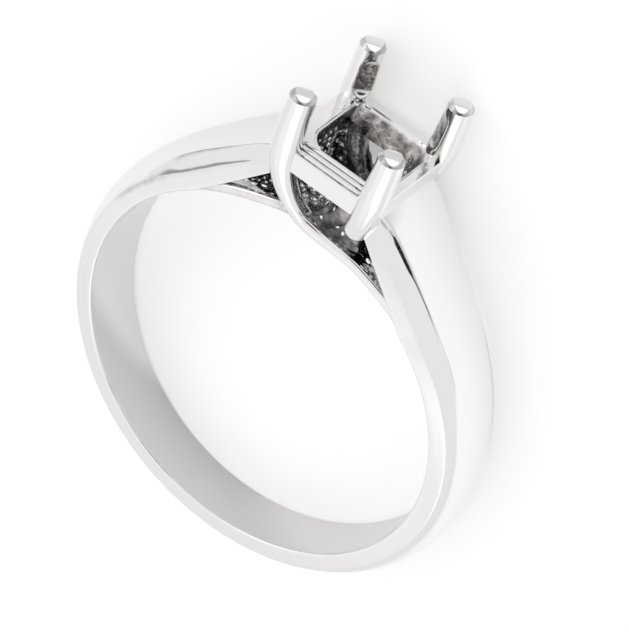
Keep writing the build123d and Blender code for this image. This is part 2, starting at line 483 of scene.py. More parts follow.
sections = round((band_angles[-1] - band_angles[0]) / SECTION_STEP)
right_angles = [
    band_angles[0] + (band_angles[-1] - band_angles[0]) * i / sections for i in range(sections + 1)
]
band_loops = [band_loop(angle, -1) for angle in reversed(right_angles[1:])]
band_loops += [band_loop(angle, 1) for angle in right_angles]
band_mesh = shell("shank_and_shoulders", band_loops)
smooth_by_angle(band_mesh, 60)
print("sections round the band", len(band_loops))

# %% [markdown]
# The wheel polishes the band all round, but not the roofs of the gaps or the ends inside the head. Along
# the bottom of each cove a dark line is painted as shade, strong on the left and faint on the right. Both
# could be painted by hand. Written as rules on a point's place, they follow the shape when a size changes.

# %% Band finish
# the painted shade line's height above the side corner, and how dark it is on the left and the right
COVE_LINE = 0.17
LEFT_SHADE = 0.50
RIGHT_SHADE = 0.06
# the angles at which the painted shade line comes in, thins out to a trace and ends before the head
SHADE_IN, SHADE_FULL = 20, 28
SHADE_THINS, SHADE_TRACE = 36, 48
SHADE_GOES, SHADE_END = 69, 75
TRACE_SHARE = 0.2
# a face under the shoulder that looks this much towards the finger is the gap's roof
ROOF_FACING = -0.8


def band_skin(point, normal):
    """The gap's roof and the ends inside the head are cast, and all else is polished."""
    angle = degrees(atan2(point.y, abs(point.x)))
    if angle > band_angles[-1] - 0.1:
        return 1.0
    outwards = Vector((point.x, point.y, 0)).normalized()
    return 1.0 if angle > GAP_TIP_ANGLE + 1 and normal.dot(outwards) < ROOF_FACING else 0.0


def cove_painted_shade(point, normal):
    """A dark line painted as shade in the bottom of the cove, which thins out upwards and towards both
    ends.
    """
    angle = degrees(atan2(point.y, abs(point.x)))
    above = hypot(point.x, point.y) - flowing(band_angles, column(BAND_ROWS, 1), angle)
    if not -SIDE_CORNER_ROUND < above < COVE_LINE:
        return 0.0
    fade = clamp((angle - SHADE_IN) / (SHADE_FULL - SHADE_IN))
    fade *= min(max((SHADE_TRACE - angle) / (SHADE_TRACE - SHADE_THINS), TRACE_SHARE), 1)
    fade *= clamp((SHADE_END - angle) / (SHADE_END - SHADE_GOES))
    return (LEFT_SHADE if point.x < 0 else RIGHT_SHADE) * fade * (1 - max(above, 0) / COVE_LINE) ** 1.5


mark(band_mesh, "cast_skin", band_skin)
mark(band_mesh, "painted_shade", cove_painted_shade)
finish_piece("shank_and_shoulders", band_mesh, polished)

# %% [markdown]
# ## Prongs and strands
# On each side of the head one prong runs down into the outer strand of the trellis. Its neighbour stands
# on a rounded foot, and beside that foot the inner strand hangs from the gallery rail and passes behind
# the outer one. A bevelled curve could follow each route, but its section keeps one shape. These turn from
# round to flat on the way, so each is a squared circle swept through a table of places and sizes.

# %% Routes
# across, up, front, size along the finger, size across it, squareness, in millimetres
PRONG_TOP = (
    (2.26, 14.59, 2.53, 1.15, 1.15, 2.0),
    (2.26, 14.20, 2.53, 1.19, 1.19, 2.0),
    (2.24, 13.48, 2.53, 1.24, 1.24, 2.0),
    (2.21, 12.40, 2.50, 1.31, 1.31, 2.1),
)
OUTER_BEND = (
    (-2.08, 11.32, 2.45, 1.26, 1.20, 2.2),
    (-1.70, 10.40, 2.38, 1.09, 0.99, 2.4),
    (-1.06, 9.60, 2.28, 0.90, 0.74, 2.6),
    (-0.27, 9.05, 2.13, 0.80, 0.66, 3.0),
)
STANDING_FOOT = (
    (2.08, 11.32, 2.43, 1.24, 1.24, 2.1),
    (1.92, 10.60, 2.35, 1.12, 1.12, 2.1),
)
INNER_BEND = (
    (1.31, 11.70, 1.87, 0.80, 0.92, 2.8),
    (1.20, 11.07, 1.85, 0.80, 0.92, 2.8),
    (0.90, 10.24, 1.77, 0.80, 0.88, 2.8),
    (0.41, 9.54, 1.67, 0.80, 0.80, 2.8),
    (-0.32, 9.10, 1.57, 0.80, 0.66, 3.0),
    (-1.02, 8.90, 1.57, 0.80, 0.56, 3.4),
)
print("rows", [len(rows) for rows in (PRONG_TOP, OUTER_BEND, STANDING_FOOT, INNER_BEND)])

# %% Runs along the finger hole
STRAND_HEIGHT = 0.52
STRAND_DEPTH = 0.80
STRAND_SQUARENESS = 3.6
# angle, front of the outer strand and of the inner one as shares of the half width
STRAND_RUN = (
    (76, 0.83, 0.74),
    (69, 0.82, 0.78),
    (62, 0.80, 0.79),
    (55, 0.78, 0.78),
    (48, 0.75, 0.74),
)


def run_rows(side, share_index):
    """The strand's rows along the finger hole, on the right or the left side."""
    rows = []
    for run in STRAND_RUN:
        angle = run[0] if side > 0 else 180 - run[0]
        middle = ring_point(angle, BORE_RADIUS + STRAND_HEIGHT / 2, run[share_index] * half_width(run[0]))
        rows.append((*middle, STRAND_DEPTH, STRAND_HEIGHT, STRAND_SQUARENESS))
    return rows


print("outer strand ends at", [round(side, 2) for side in run_rows(1, 1)[-1][:3]])

# %% [markdown]
# A sweep moves a section along its route and turns it with the route's direction. The inner side of each
# prong was ground flat where the setter would cut it, which a limit on the section's reach gives.

# %% Sweep
ROUTE_STEPS = 14
ROUND_STEPS = 48
# the flat is cut to this share of the prong's half width, between two heights
FLAT_DEPTH = 0.76
FLAT_FROM, FLAT_TO = 12.35, 14.50
FLAT_FADE = 0.50


def flat_share(up):
    """How far the flat is cut in at a height, from 0 to 1."""
    share = clamp(min(up - FLAT_FROM, FLAT_TO - up) / FLAT_FADE)
    return share * share * (3 - 2 * share)


def catmull(stations, values, at):
    """A smooth curve through the values that follows their run more freely."""
    at = min(max(at, stations[0]), stations[-1])
    index = max(i for i in range(len(stations) - 1) if stations[i] <= at)
    step = stations[index + 1] - stations[index]

    def slope(i):
        low, high = max(i - 1, 0), min(i + 1, len(values) - 1)
        return (values[high] - values[low]) / (stations[high] - stations[low])

    t = (at - stations[index]) / step
    return (
        (2 * t**3 - 3 * t**2 + 1) * values[index]
        + (t**3 - 2 * t**2 + t) * step * slope(index)
        + (3 * t**2 - 2 * t**3) * values[index + 1]
        + (t**3 - t**2) * step * slope(index + 1)
    )


def section_loop(middle, sideways, upright, wide, high, squareness):
    """One squared circle: 2 gives a round, and more gives flatter sides."""
    loop = []
    for i in range(ROUND_STEPS):
        turn = 2 * pi * i / ROUND_STEPS
        c, s = cos(turn), sin(turn)
        reach = (abs(c) ** squareness + abs(s) ** squareness) ** (-1 / squareness)
        loop.append(middle + sideways * (c * reach * wide / 2) + upright * (s * reach * high / 2))
    return loop


def ground(loop, middle, inward, limit):
    """The loop with everything past the limit, on the inward side, ground away."""
    return [point - inward * max((point - middle).dot(inward) - limit, 0) for point in loop]


def sweep_loops(rows, inward=None):
    """Loops of a squared circle along a route through the rows, with a flat on the inward side."""
    reach = [0.0]
    for before, after in zip(rows, rows[1:]):
        reach.append(reach[-1] + (Vector(after[:3]) - Vector(before[:3])).length)
    total = (len(rows) - 1) * ROUTE_STEPS
    stations = [reach[-1] * i / total for i in range(total + 1)]
    tracks = [[catmull(reach, column(rows, i), at) for i in range(6)] for at in stations]
    loops = []
    for index, track in enumerate(tracks):
        before = Vector(tracks[max(index - 1, 0)][:3])
        after = Vector(tracks[min(index + 1, total)][:3])
        along = (after - before).normalized()
        sideways = Vector((0, 0, 1))
        sideways = (sideways - along * sideways.dot(along)).normalized()
        middle = Vector(track[:3])
        loop = section_loop(middle, sideways, along.cross(sideways), *track[3:])
        if inward:
            limit = track[3] / 2 * (1 - (1 - FLAT_DEPTH) * flat_share(track[1]))
            loop = ground(loop, middle, inward, limit)
        loops.append(loop)
    return loops


inner_loops = sweep_loops(list(INNER_BEND) + run_rows(-1, 2))
print("loops along the inner strand", len(inner_loops))

# %% [markdown]
# A prong ends in a tip filed by hand: a low cap, a facet on two sides and a chamfer all round. Filing three
# planes with booleans would leave hard lines. A soft lowest of three heights gives the same tip with the
# small roundings that polishing leaves.

# %% Tips and feet
# the facets slope down from the cap's middle, and the chamfer falls this much for each step outwards
PRONG_END = 15.01
TIP_HEIGHT = 0.25
TIP_CAP_DROP = 0.03
TIP_FACET_SLOPE = 27
TIP_FACET_START = 0.19
TIP_CHAMFER_SLOPE = 1.35
TIP_SOFTNESS = 0.012
TIP_WAY = Vector((cos(radians(60)), 0, sin(radians(60))))
TIP_STEPS = 18
FOOT_LENGTH = 0.56
FOOT_STEPS = 12
# the last loop stops just short of the middle, so that its cap isn't folded
CLOSING_TURN = pi / 2 * 0.985


def tip_height(offset, radius):
    """How far the end of a prong stands up, at an offset from its middle."""
    reach = max(abs(offset.dot(TIP_WAY)) - TIP_FACET_START, 0)
    cap = TIP_HEIGHT - TIP_CAP_DROP * (offset.length / radius) ** 2
    facet = TIP_HEIGHT - tan(radians(TIP_FACET_SLOPE)) * reach
    chamfer = TIP_CHAMFER_SLOPE * (radius - offset.length)
    shares = [exp(-height / TIP_SOFTNESS) for height in (cap, facet, chamfer)]
    return max(-TIP_SOFTNESS * log(sum(shares)), 0)


def tip_loops(loop):
    """Shrinking copies of a prong's end loop that close it with its filed tip."""
    middle = sum(loop, Vector()) / len(loop)
    tips = []
    for i in range(1, TIP_STEPS + 1):
        share = cos(i / TIP_STEPS * CLOSING_TURN)
        points = []
        for point in loop:
            offset = (point - middle) * share
            radius = (point - middle).length
            points.append(middle + offset + Vector((0, tip_height(offset, radius), 0)))
        tips.append(points)
    return tips


def foot_loops(loop, rise):
    """Shrinking copies of an end loop that close it as a full round."""
    middle = sum(loop, Vector()) / len(loop)
    turns = [i / FOOT_STEPS * CLOSING_TURN for i in range(1, FOOT_STEPS + 1)]
    return [[middle + (point - middle) * cos(turn) + rise * sin(turn) for point in loop] for turn in turns]


print("tip height in mm", round(tip_height(Vector((0.1, 0, 0)), 0.57), 3))

# %% Prong and strand meshes
outer_inward = Vector((1, 0, -1)).normalized()
standing_inward = Vector((-1, 0, -1)).normalized()
# the tip stands on the tables' first row, which is lengthened to meet it
prong_top = [list(row) for row in PRONG_TOP]
prong_top[0][1] = PRONG_END - TIP_HEIGHT

outer_rows = [(-row[0], *row[1:]) for row in prong_top] + list(OUTER_BEND) + run_rows(1, 1)
outer_loops = sweep_loops(outer_rows, outer_inward)
outer_loops = tip_loops(outer_loops[0])[::-1] + outer_loops
standing_loops = sweep_loops(prong_top + list(STANDING_FOOT), standing_inward)
foot_way = (Vector(STANDING_FOOT[1][:3]) - Vector(STANDING_FOOT[0][:3])).normalized()
foot = foot_loops(standing_loops[-1], foot_way * FOOT_LENGTH)
standing_loops = tip_loops(standing_loops[0])[::-1] + standing_loops + foot
print("loops along the two prongs", len(outer_loops), len(standing_loops))

# %% [markdown]
# The polishing wheel runs over the outsides alone. The ground flats and the inside of the head keep their
# cast skin, and the inner strand is painted dark low down, behind the outer one, as shade.

# %% Prong and strand finish
# how much a face has to look inwards to be the ground flat, and how steeply up to be the tip's rim
FLAT_FACING, FLAT_FACING_FADE = 0.86, 0.10
RIM_FACING = (0.35, 0.8)
# the tip's rim is satin, and the grey it takes from the cast skin's colour is painted shade
RIM_SKIN_AND_SHADE = 0.6
# the inner strand's skin fades out to the left, and its painted shade to the left and upwards
SKIN_END, SKIN_LEFT = -2.2, 0.15
INNER_SHADE = 0.7
SHADE_LEFT, SHADE_TOP, SHADE_FADE = -1.3, 10.8, 0.8


def prong_skin(inward):
    """A rule for the ground flat, which shows the cast skin, and for the filed rim of the tip, whose satin
    skin is also darkened as painted shade.
    """

    def cast_share(point, normal):
        facing = (normal.dot(inward) - FLAT_FACING) / FLAT_FACING_FADE
        if flat_share(point.y) > 0 and facing > 0:
            return flat_share(point.y) * min(facing, 1)
        if point.y > PRONG_END - TIP_HEIGHT - 0.01 and RIM_FACING[0] < normal.y < RIM_FACING[1]:
            return RIM_SKIN_AND_SHADE
        return 0.0

    return cast_share


def inner_skin(point, normal):
    """The inner strand is cast inside the head and nearly polished where it has left it."""
    return min(max(point.x - SKIN_END, SKIN_LEFT), 1.0)


def inner_painted_shade(point, normal):
    """Painted shade, low on the inner strand, from where it passes behind the outer one."""
    return INNER_SHADE * clamp((SHADE_TOP - point.y) / SHADE_FADE) * clamp(point.x - SHADE_LEFT)


head_meshes = {
    "prong_and_outer_strand": (shell("prong_and_outer_strand", outer_loops), prong_skin(outer_inward)),
    "standing_prong": (shell("standing_prong", standing_loops), prong_skin(standing_inward)),
    "inner_strand": (shell("inner_strand", inner_loops), inner_skin),
}
for mesh, cast_share in head_meshes.values():
    mark(mesh, "cast_skin", cast_share)
mark(head_meshes["inner_strand"][0], "painted_shade", inner_painted_shade)
print("shapes in the head", list(head_meshes))

# %% [markdown]
# The back of the head is the front, turned half round. A mirror modifier would give the wrong hand, and
# copies made by hand would drift apart when a size changes. A node tree turns them instead: it gives every
# shape as many copies about the head's axis as it is asked for, as real geometry of one metal.


# %% Geometry Nodes trees
def tree_with(name, inputs):
    """A new tree with a geometry in and out and named inputs, and its input node."""
    tree = bpy.data.node_groups.new(name, "GeometryNodeTree")
    tree.interface.new_socket("Geometry", in_out="INPUT", socket_type="NodeSocketGeometry")
    for label, kind in inputs.items():
        tree.interface.new_socket(label, in_out="INPUT", socket_type="NodeSocket" + kind)
    tree.interface.new_socket("Geometry", in_out="OUTPUT", socket_type="NodeSocketGeometry")
    return tree, node(tree, "NodeGroupInput").outputs


def close_tree(tree, instances, metal):
    """Ends a tree in real geometry of one metal."""
    real = node(tree, "GeometryNodeRealizeInstances", {"Geometry": instances}).outputs[0]
    dressed = node(tree, "GeometryNodeSetMaterial", {"Geometry": real, "Material": metal}).outputs[0]
    node(tree, "NodeGroupOutput", {"Geometry": dressed})


def turned_copies_tree():
    """Repeats a shape, turned evenly about the head's axis."""
    tree, given = tree_with("turned_copies", {"Copies": "Int", "Metal": "Material"})
    line = node(tree, "GeometryNodeMeshLine", {"Count": given["Copies"], "Offset": (0, 0, 0)}).outputs[0]
    step = node(tree, "ShaderNodeMath", {0: 2 * pi, 1: given["Copies"]}, operation="DIVIDE").outputs[0]
    order = node(tree, "GeometryNodeInputIndex").outputs[0]
    angle = node(tree, "ShaderNodeMath", {0: order, 1: step}, operation="MULTIPLY").outputs[0]
    turn = node(tree, "ShaderNodeCombineXYZ", {"Y": angle}).outputs[0]
    spots = {"Points": line, "Instance": given["Geometry"], "Rotation": turn}
    close_tree(tree, node(tree, "GeometryNodeInstanceOnPoints", spots).outputs[0], given["Metal"])
    return tree


def grown(mesh, tree, **inputs):
    """A plain mesh of what the tree makes of a shape, with the tree's inputs set by name."""
    holder = bpy.data.objects.new("holder", mesh)
    bpy.context.scene.collection.objects.link(holder)
    modifier = holder.modifiers.new("grown", "NODES")
    modifier.node_group = tree
    for item in tree.interface.items_tree:
        if item.in_out == "INPUT" and item.name in inputs:
            modifier[item.identifier] = inputs[item.name]
    bpy.context.view_layer.update()
    made = bpy.data.meshes.new_from_object(holder.evaluated_get(bpy.context.evaluated_depsgraph_get()))
    holder.modifiers.remove(modifier)
    bpy.data.objects.remove(holder)
    return made


turned_copies = turned_copies_tree()
print("tree inputs", [item.name for item in turned_copies.interface.items_tree if item.in_out == "INPUT"])

# %% Half-turn pairs
# the head stands this much to the right of the finger hole's middle
HEAD_OFFSET = 0.08
HEAD_PLACE = PLACE @ Matrix.Translation((HEAD_OFFSET, 0, 0))
for name, (mesh, _) in head_meshes.items():
    pair = grown(mesh, turned_copies, Copies=2, Metal=polished)
    smooth_by_angle(pair, 30)
    finish_piece(name + "s", pair, polished, HEAD_PLACE)

# %% [markdown]
# ## Gallery rail
# The rail is a square frame that ties the prongs together, with softly rounded outer corners. Its opening
# is the seat, cut by hand off the middle and with two large cut corners. A boolean could cut it. Loops of
# rounded rectangles, joined in a closed round, give the lip and the sloping wall their own roundings.

# %% Rail
RAIL_HALF_X = 2.60
RAIL_HALF_Z = 2.78
RAIL_TOP = BORE_RADIUS + 3.60
RAIL_BOTTOM = RAIL_TOP - 1.00
RAIL_CORNER = 0.60
RAIL_EDGE = 0.05
SEAT_LEFT, SEAT_RIGHT, SEAT_FRONT, SEAT_BACK = -1.78, 2.08, 1.68, -2.20
# corner radii and how far each side closes in below the lip: front right, front left, back left, back
# right, and left, right, front, back
SEAT_CORNERS = (0.30, 1.05, 0.15, 0.95)
SEAT_SHARES = (0.10, 1.0, 0.33, 1.0)
SEAT_NARROWS = 0.55
SEAT_LIP = 0.10
# from the lip down the wall: how far it stands in from the opening's line and below the rail's top
SEAT_WALL = ((-SEAT_LIP, 0), (-SEAT_LIP / 2, 0.09), (0, 0.05), (0.10, 0.16), (SEAT_NARROWS / 2, 0.5))
WALL_SKIN_FROM = 0.1
# how dark the seat's left wall is painted, as shade
WALL_SHADE = 0.7
CORNER_STEPS = 8


def frame_loop(left, right, front, back, corners, up):
    """A rounded rectangle at one height, with a radius for each of its corners."""
    loop = []
    turns = ((0, right, front), (90, left, front), (180, left, back), (270, right, back))
    for (turn, x_edge, z_edge), corner in zip(turns, corners):
        x_way, z_way = cos(radians(turn + 45)), sin(radians(turn + 45))
        middle_x = x_edge - corner * (1 if x_way > 0 else -1)
        middle_z = z_edge - corner * (1 if z_way > 0 else -1)
        for i in range(CORNER_STEPS + 1):
            angle = radians(turn + 90 * i / CORNER_STEPS)
            loop.append(Vector((middle_x + corner * cos(angle), up, middle_z + corner * sin(angle))))
    return loop


def rail_outline(inset, up):
    """The rail's outside, pulled in by the inset."""
    half_x, half_z = RAIL_HALF_X - inset, RAIL_HALF_Z - inset
    return frame_loop(-half_x, half_x, half_z, -half_z, [RAIL_CORNER] * 4, up)


def seat_outline(inset, up):
    """The seat's opening, pulled in by the inset, with its two large cut corners."""
    shares = SEAT_SHARES if inset > 0 else (1, 1, 1, 1)
    sides = (SEAT_LEFT, SEAT_RIGHT, SEAT_FRONT, SEAT_BACK)
    edges = [side + way * share * inset for side, way, share in zip(sides, (1, -1, -1, 1), shares)]
    return frame_loop(*edges, SEAT_CORNERS, up)


rail_loops = [
    seat_outline(SEAT_NARROWS, RAIL_BOTTOM),
    rail_outline(RAIL_EDGE, RAIL_BOTTOM),
    rail_outline(0, RAIL_BOTTOM + RAIL_EDGE),
    rail_outline(0, RAIL_TOP - RAIL_EDGE),
    rail_outline(RAIL_EDGE, RAIL_TOP),
]
rail_loops += [seat_outline(inset, RAIL_TOP - drop) for inset, drop in SEAT_WALL]
rail_mesh = shell("gallery_rail", rail_loops, closed=True)
smooth_by_angle(rail_mesh, 30)


def rail_skin(point, normal):
    """The seat's wall keeps its cast skin below the lip."""
    inside = SEAT_LEFT < point.x < SEAT_RIGHT and SEAT_BACK < point.z < SEAT_FRONT
    return 1.0 if inside and point.y < RAIL_TOP - WALL_SKIN_FROM else 0.0


def rail_painted_shade(point, normal):
    """The left wall, which looks to the right, is painted dark as shade."""
    return WALL_SHADE if rail_skin(point, normal) and normal.x > 0.7 else 0.0


mark(rail_mesh, "cast_skin", rail_skin)
mark(rail_mesh, "painted_shade", rail_painted_shade)
finish_piece("gallery_rail", rail_mesh, polished, HEAD_PLACE)

# %% [markdown]
# The seat was opened with a graver, which left parallel ridges along the front of the rail. A bump would
# vanish where the rail is seen from its side. So one ridge is a thin bar with a round back, and a tree
# lays its copies side by side.

# %% Ridges on the rail
RIDGE_COUNT = 3
RIDGE_PITCH = 0.33
RIDGE_WIDTH = 0.29
RIDGE_HEIGHT = 0.16
RIDGE_ENDS = (-1.80, 1.75)
RIDGE_FIRST = 2.55
RIDGE_SINK, RIDGE_BASE = 0.02, 0.05
RIDGE_STEPS, ARCH_STEPS = 40, 11
# the ends taper over this share of the length, and the furrows are painted black as shade up to this share
# of the height
TAPER_SHARE = 0.2
FURROW_SHARE = 0.35


def laid_copies_tree():
    """Lays copies of a shape side by side, towards the back."""
    tree, given = tree_with("laid_copies", {"Copies": "Int", "Pitch": "Float", "Metal": "Material"})
    back = node(tree, "ShaderNodeMath", {0: given["Pitch"], 1: -1.0}, operation="MULTIPLY").outputs[0]
    offset = node(tree, "ShaderNodeCombineXYZ", {"Z": back}).outputs[0]
    line = node(tree, "GeometryNodeMeshLine", {"Count": given["Copies"], "Offset": offset}).outputs[0]
    spots = {"Points": line, "Instance": given["Geometry"]}
    close_tree(tree, node(tree, "GeometryNodeInstanceOnPoints", spots).outputs[0], given["Metal"])
    return tree


ridge_loops = []
for i in range(RIDGE_STEPS + 1):
    t = i / RIDGE_STEPS
    taper = min(1, t / TAPER_SHARE, (1 - t) / TAPER_SHARE) ** 0.5
    x = RIDGE_ENDS[0] + (RIDGE_ENDS[1] - RIDGE_ENDS[0]) * t
    loop = []
    for step in range(ARCH_STEPS + 1):
        turn = pi * step / ARCH_STEPS
        rise = RIDGE_HEIGHT * sin(turn) * taper
        front = RIDGE_FIRST + RIDGE_WIDTH / 2 * cos(turn)
        loop.append(Vector((x, RAIL_TOP - RIDGE_SINK + rise, front)))
    ridge_loops.append(loop + [Vector((x, RAIL_TOP - RIDGE_BASE, RIDGE_FIRST))])
ridge_mesh = shell("seat_ridges", ridge_loops)


def furrow_painted_shade(point, normal):
    """The furrows between the ridges are painted black as shade."""
    return 1.0 if point.y < RAIL_TOP + FURROW_SHARE * RIDGE_HEIGHT else 0.0


mark(ridge_mesh, "painted_shade", furrow_painted_shade)
laid_copies = laid_copies_tree()
ridges = grown(ridge_mesh, laid_copies, Copies=RIDGE_COUNT, Pitch=RIDGE_PITCH, Metal=polished)
smooth_by_angle(ridges, 50)
finish_piece("seat_ridges", ridges, polished, HEAD_PLACE)

# %% [markdown]
# ## Inside the head
# No wheel reaches in here. The floor over the finger and the webs between the shoulders and the strands
# are uneven, as cast. They could be flat plates with a bumpy material, but their skyline shows against the
# light. So the unevenness is real: every point is pushed along its plate's normal by solid noise. The
# floor's underside is the finger hole's wall, and polished.

# %% Floor
FLOOR_THICKNESS = 0.42
FLOOR_HALF_WIDTH = 1.96
FLOOR_STEPS, FLOOR_HALF_POINTS = 200, 24
# in the gaps the floor swells beside the strands, between these turns from the head's middle
FLOOR_SWELL = 0.36
SWELL_FROM, SWELL_FULL, SWELL_FALLS, SWELL_TO = 15, 22, 28, 33
SWELL_FRONT, SWELL_FRONT_FADE = 0.5, 0.9
FLOOR_CROWN = 0.07
# spacing and height of the cast unevenness, and the share of both that a finer one has
CAST_WAVE = 0.34
CAST_WAVE_HEIGHT = 0.16
FINER_SHARE = 0.4


def cast_wave(point):
    """The height of the cast unevenness at a point, from about -1 to 1."""
    coarse = solid_noise.noise(point / CAST_WAVE)
    fine = solid_noise.noise(point / (FINER_SHARE * CAST_WAVE) + Vector((7, 0, 0)))
    return coarse + FINER_SHARE * fine


def floor_top(angle, front):
    """The radius of the floor's upper side, which swells under the shoulders beside the strands."""
    radius = BORE_RADIUS + FLOOR_THICKNESS
    turn = abs(angle - 90)
    away = clamp((turn - SWELL_FROM) / (SWELL_FULL - SWELL_FROM))
    away *= clamp((SWELL_TO - turn) / (SWELL_TO - SWELL_FALLS))
    aside = clamp((abs(front) - SWELL_FRONT) / SWELL_FRONT_FADE)
    wave = 0.5 * CAST_WAVE_HEIGHT * cast_wave(ring_point(angle, radius, front))
    return radius + FLOOR_CROWN + FLOOR_SWELL * away * aside + wave * (1 + away * aside)


floor_ways = [way / FLOOR_HALF_POINTS for way in range(-FLOOR_HALF_POINTS, FLOOR_HALF_POINTS + 1)]
floor_end = GAP_TIP_ANGLE - 1
floor_loops = []
for i in range(FLOOR_STEPS + 1):
    angle = floor_end + (180 - 2 * floor_end) * i / FLOOR_STEPS
    loop = [ring_point(angle, BORE_RADIUS + 0.01, FLOOR_HALF_WIDTH * way) for way in floor_ways]
    for way in reversed(floor_ways):
        front = FLOOR_HALF_WIDTH * way
        loop.append(ring_point(angle, floor_top(angle, front), front))
    floor_loops.append(loop)
floor_mesh = shell("head_floor", floor_loops)
smooth_by_angle(floor_mesh, 60)


def floor_skin(point, normal):
    """The finger hole is polished all round, and the floor's upper side is left as cast."""
    return 1.0 if hypot(point.x, point.y) > BORE_RADIUS + 0.1 else 0.0


mark(floor_mesh, "cast_skin", floor_skin)
finish_piece("head_floor", floor_mesh, polished)

# %% [markdown]
# A thin web closes the head along the end of the left shoulder, round the corner and along the back as far
# as the inner strand. It is a plate that bends once, with its own unevenness on each face, and the same
# tree turns its copy to the front and the right.

# %% Webs
WEB_SIDE = 2.02
WEB_BACK = 1.90
WEB_THICKNESS, WEB_THINNEST = 0.16, 0.06
WEB_LOW, WEB_HIGH = 9.02, 11.32
# where it starts in front, and how far right it ends: at its top, more for each step down, and at most
WEB_FRONT = 0.85 * WEB_SIDE
WEB_END, WEB_END_SLOPE, WEB_END_LIMIT = -1.09, 0.75, 0.5
# the web is painted dark all over as shade, by this share
WEB_SHADE = 0.8
WEB_ROWS, WEB_STEPS = 36, 80


def web_point(t, up):
    """A point on the middle of the web, and the way that faces into the head."""
    side_run = WEB_FRONT + WEB_BACK
    back_run = WEB_SIDE + min(WEB_END + WEB_END_SLOPE * (WEB_HIGH - up), WEB_END_LIMIT)
    along = t * (side_run + back_run)
    if along < side_run:
        return Vector((-WEB_SIDE, up, WEB_FRONT - along)), Vector((1, 0, 0))
    return Vector((-WEB_SIDE + along - side_run, up, -WEB_BACK)), Vector((0, 0, 1))


web_loops = []
for i in range(WEB_STEPS + 1):
    faces = ([], [])
    for row in range(WEB_ROWS + 1):
        point, inwards = web_point(i / WEB_STEPS, WEB_LOW + (WEB_HIGH - WEB_LOW) * row / WEB_ROWS)
        for face, way in zip(faces, (1, -1)):
            swell = WEB_THICKNESS / 2 + 0.5 * CAST_WAVE_HEIGHT * cast_wave(point + inwards * way * 3)
            face.append(point + inwards * way * max(swell, WEB_THINNEST / 2))
    web_loops.append(faces[0] + faces[1][::-1])
web_mesh = shell("head_webs", web_loops)
# painted shade blackens the web all over
mark(web_mesh, "painted_shade", lambda point, normal: WEB_SHADE)
web_pair = grown(web_mesh, turned_copies, Copies=2, Metal=as_cast)
smooth_by_angle(web_pair, 60)
finish_piece("head_webs", web_pair, as_cast, HEAD_PLACE)

# %% [markdown]
# The casting also kept small round lumps, where bubbles sat in the plaster. Laid by hand they would look
# too even. A tree scatters them with a fixed seed over patches that lie on the webs, the floor and the
# seat's wall, and gives each its own size.

# %% Lumps tree
# a ball of two subdivisions has 42 points and 80 faces, which is enough at its size
LUMP_ROUNDNESS = 2
LUMP_POINTS = 42
SMALLEST, LARGEST = (0.6, 0.6, 0.5), (1.5, 1.3, 1.0)


def scattered_lumps_tree():
    """Scatters round lumps of uneven size over a patch."""
    inputs = {"Density": "Float", "Gap": "Float", "Size": "Float", "Seed": "Int", "Metal": "Material"}
    tree, given = tree_with("scattered_lumps", inputs)
    spread_out = {
        "Mesh": given["Geometry"],
        "Distance Min": given["Gap"],
        "Density Max": given["Density"],
        "Seed": given["Seed"],
    }
    points = node(tree, "GeometryNodeDistributePointsOnFaces", spread_out, distribute_method="POISSON")
    ball = {"Radius": given["Size"], "Subdivisions": LUMP_ROUNDNESS}
    ball = node(tree, "GeometryNodeMeshIcoSphere", ball).outputs[0]
    round_ball = node(tree, "GeometryNodeSetShadeSmooth", {"Geometry": ball}).outputs[0]
    between = {"Min": SMALLEST, "Max": LARGEST, "Seed": given["Seed"]}
    sizes = node(tree, "FunctionNodeRandomValue", between, data_type="FLOAT_VECTOR")
    spots = {
        "Points": points.outputs["Points"],
        "Instance": round_ball,
        "Rotation": points.outputs["Rotation"],
        "Scale": used(sizes.outputs, "Value"),
    }
    close_tree(tree, node(tree, "GeometryNodeInstanceOnPoints", spots).outputs[0], given["Metal"])
    return tree


lumps_tree = scattered_lumps_tree()
print("tree inputs", [item.name for item in lumps_tree.interface.items_tree if item.in_out == "INPUT"])

# %% Cast lumps
LUMP_DENSITY = 90.0
# the radius that the patches over the floor's swell lie at, and how far front they begin and end
SWELL_RADIUS = 9.50
SWELL_NEAR, SWELL_FAR = 1.95, 1.1


def gap_patch(near, far):
    """The corners of a patch over the floor's swell, between two angles."""
    places = ((near, SWELL_NEAR), (far, SWELL_NEAR), (far, SWELL_FAR), (near, SWELL_FAR))
    return [ring_point(angle, SWELL_RADIUS, front) for angle, front in places]


# each patch has its lumps' spacing and size; these come again turned half round
PAIRED_PATCHES = (
    (0.30, 0.15, ((-1.90, 9.3, -1.8), (-1.90, 9.3, 1.5), (-1.90, 11.3, 1.5), (-1.90, 11.3, -1.8))),
    (0.28, 0.13, ((-1.80, 11.4, -1.3), (-1.80, 11.4, 0.7), (-1.84, 12.0, 0.7), (-1.84, 12.0, -1.3))),
    (0.34, 0.16, ((-1.8, 9.3, -1.80), (-1.8, 11.2, -1.80), (-1.4, 11.2, -1.80), (-0.7, 9.3, -1.80))),
    (0.36, 0.11, ((-1.7, 9.5, -1.99), (-1.7, 11.1, -1.99), (-0.9, 11.1, -1.99), (-0.1, 9.5, -1.99))),
    (0.30, 0.15, ((-1.8, 9.16, 1.6), (-0.2, 9.16, 1.6), (-0.2, 9.16, 0.0), (-1.8, 9.16, 0.0))),
    (0.22, 0.13, gap_patch(106, 114)),
    (0.22, 0.13, gap_patch(74, 66)),
    (0.20, 0.09, ((-1.75, 10.55, 1.92), (-0.75, 9.75, 1.80), (-0.65, 9.50, 2.00), (-1.62, 10.20, 2.12))),
)
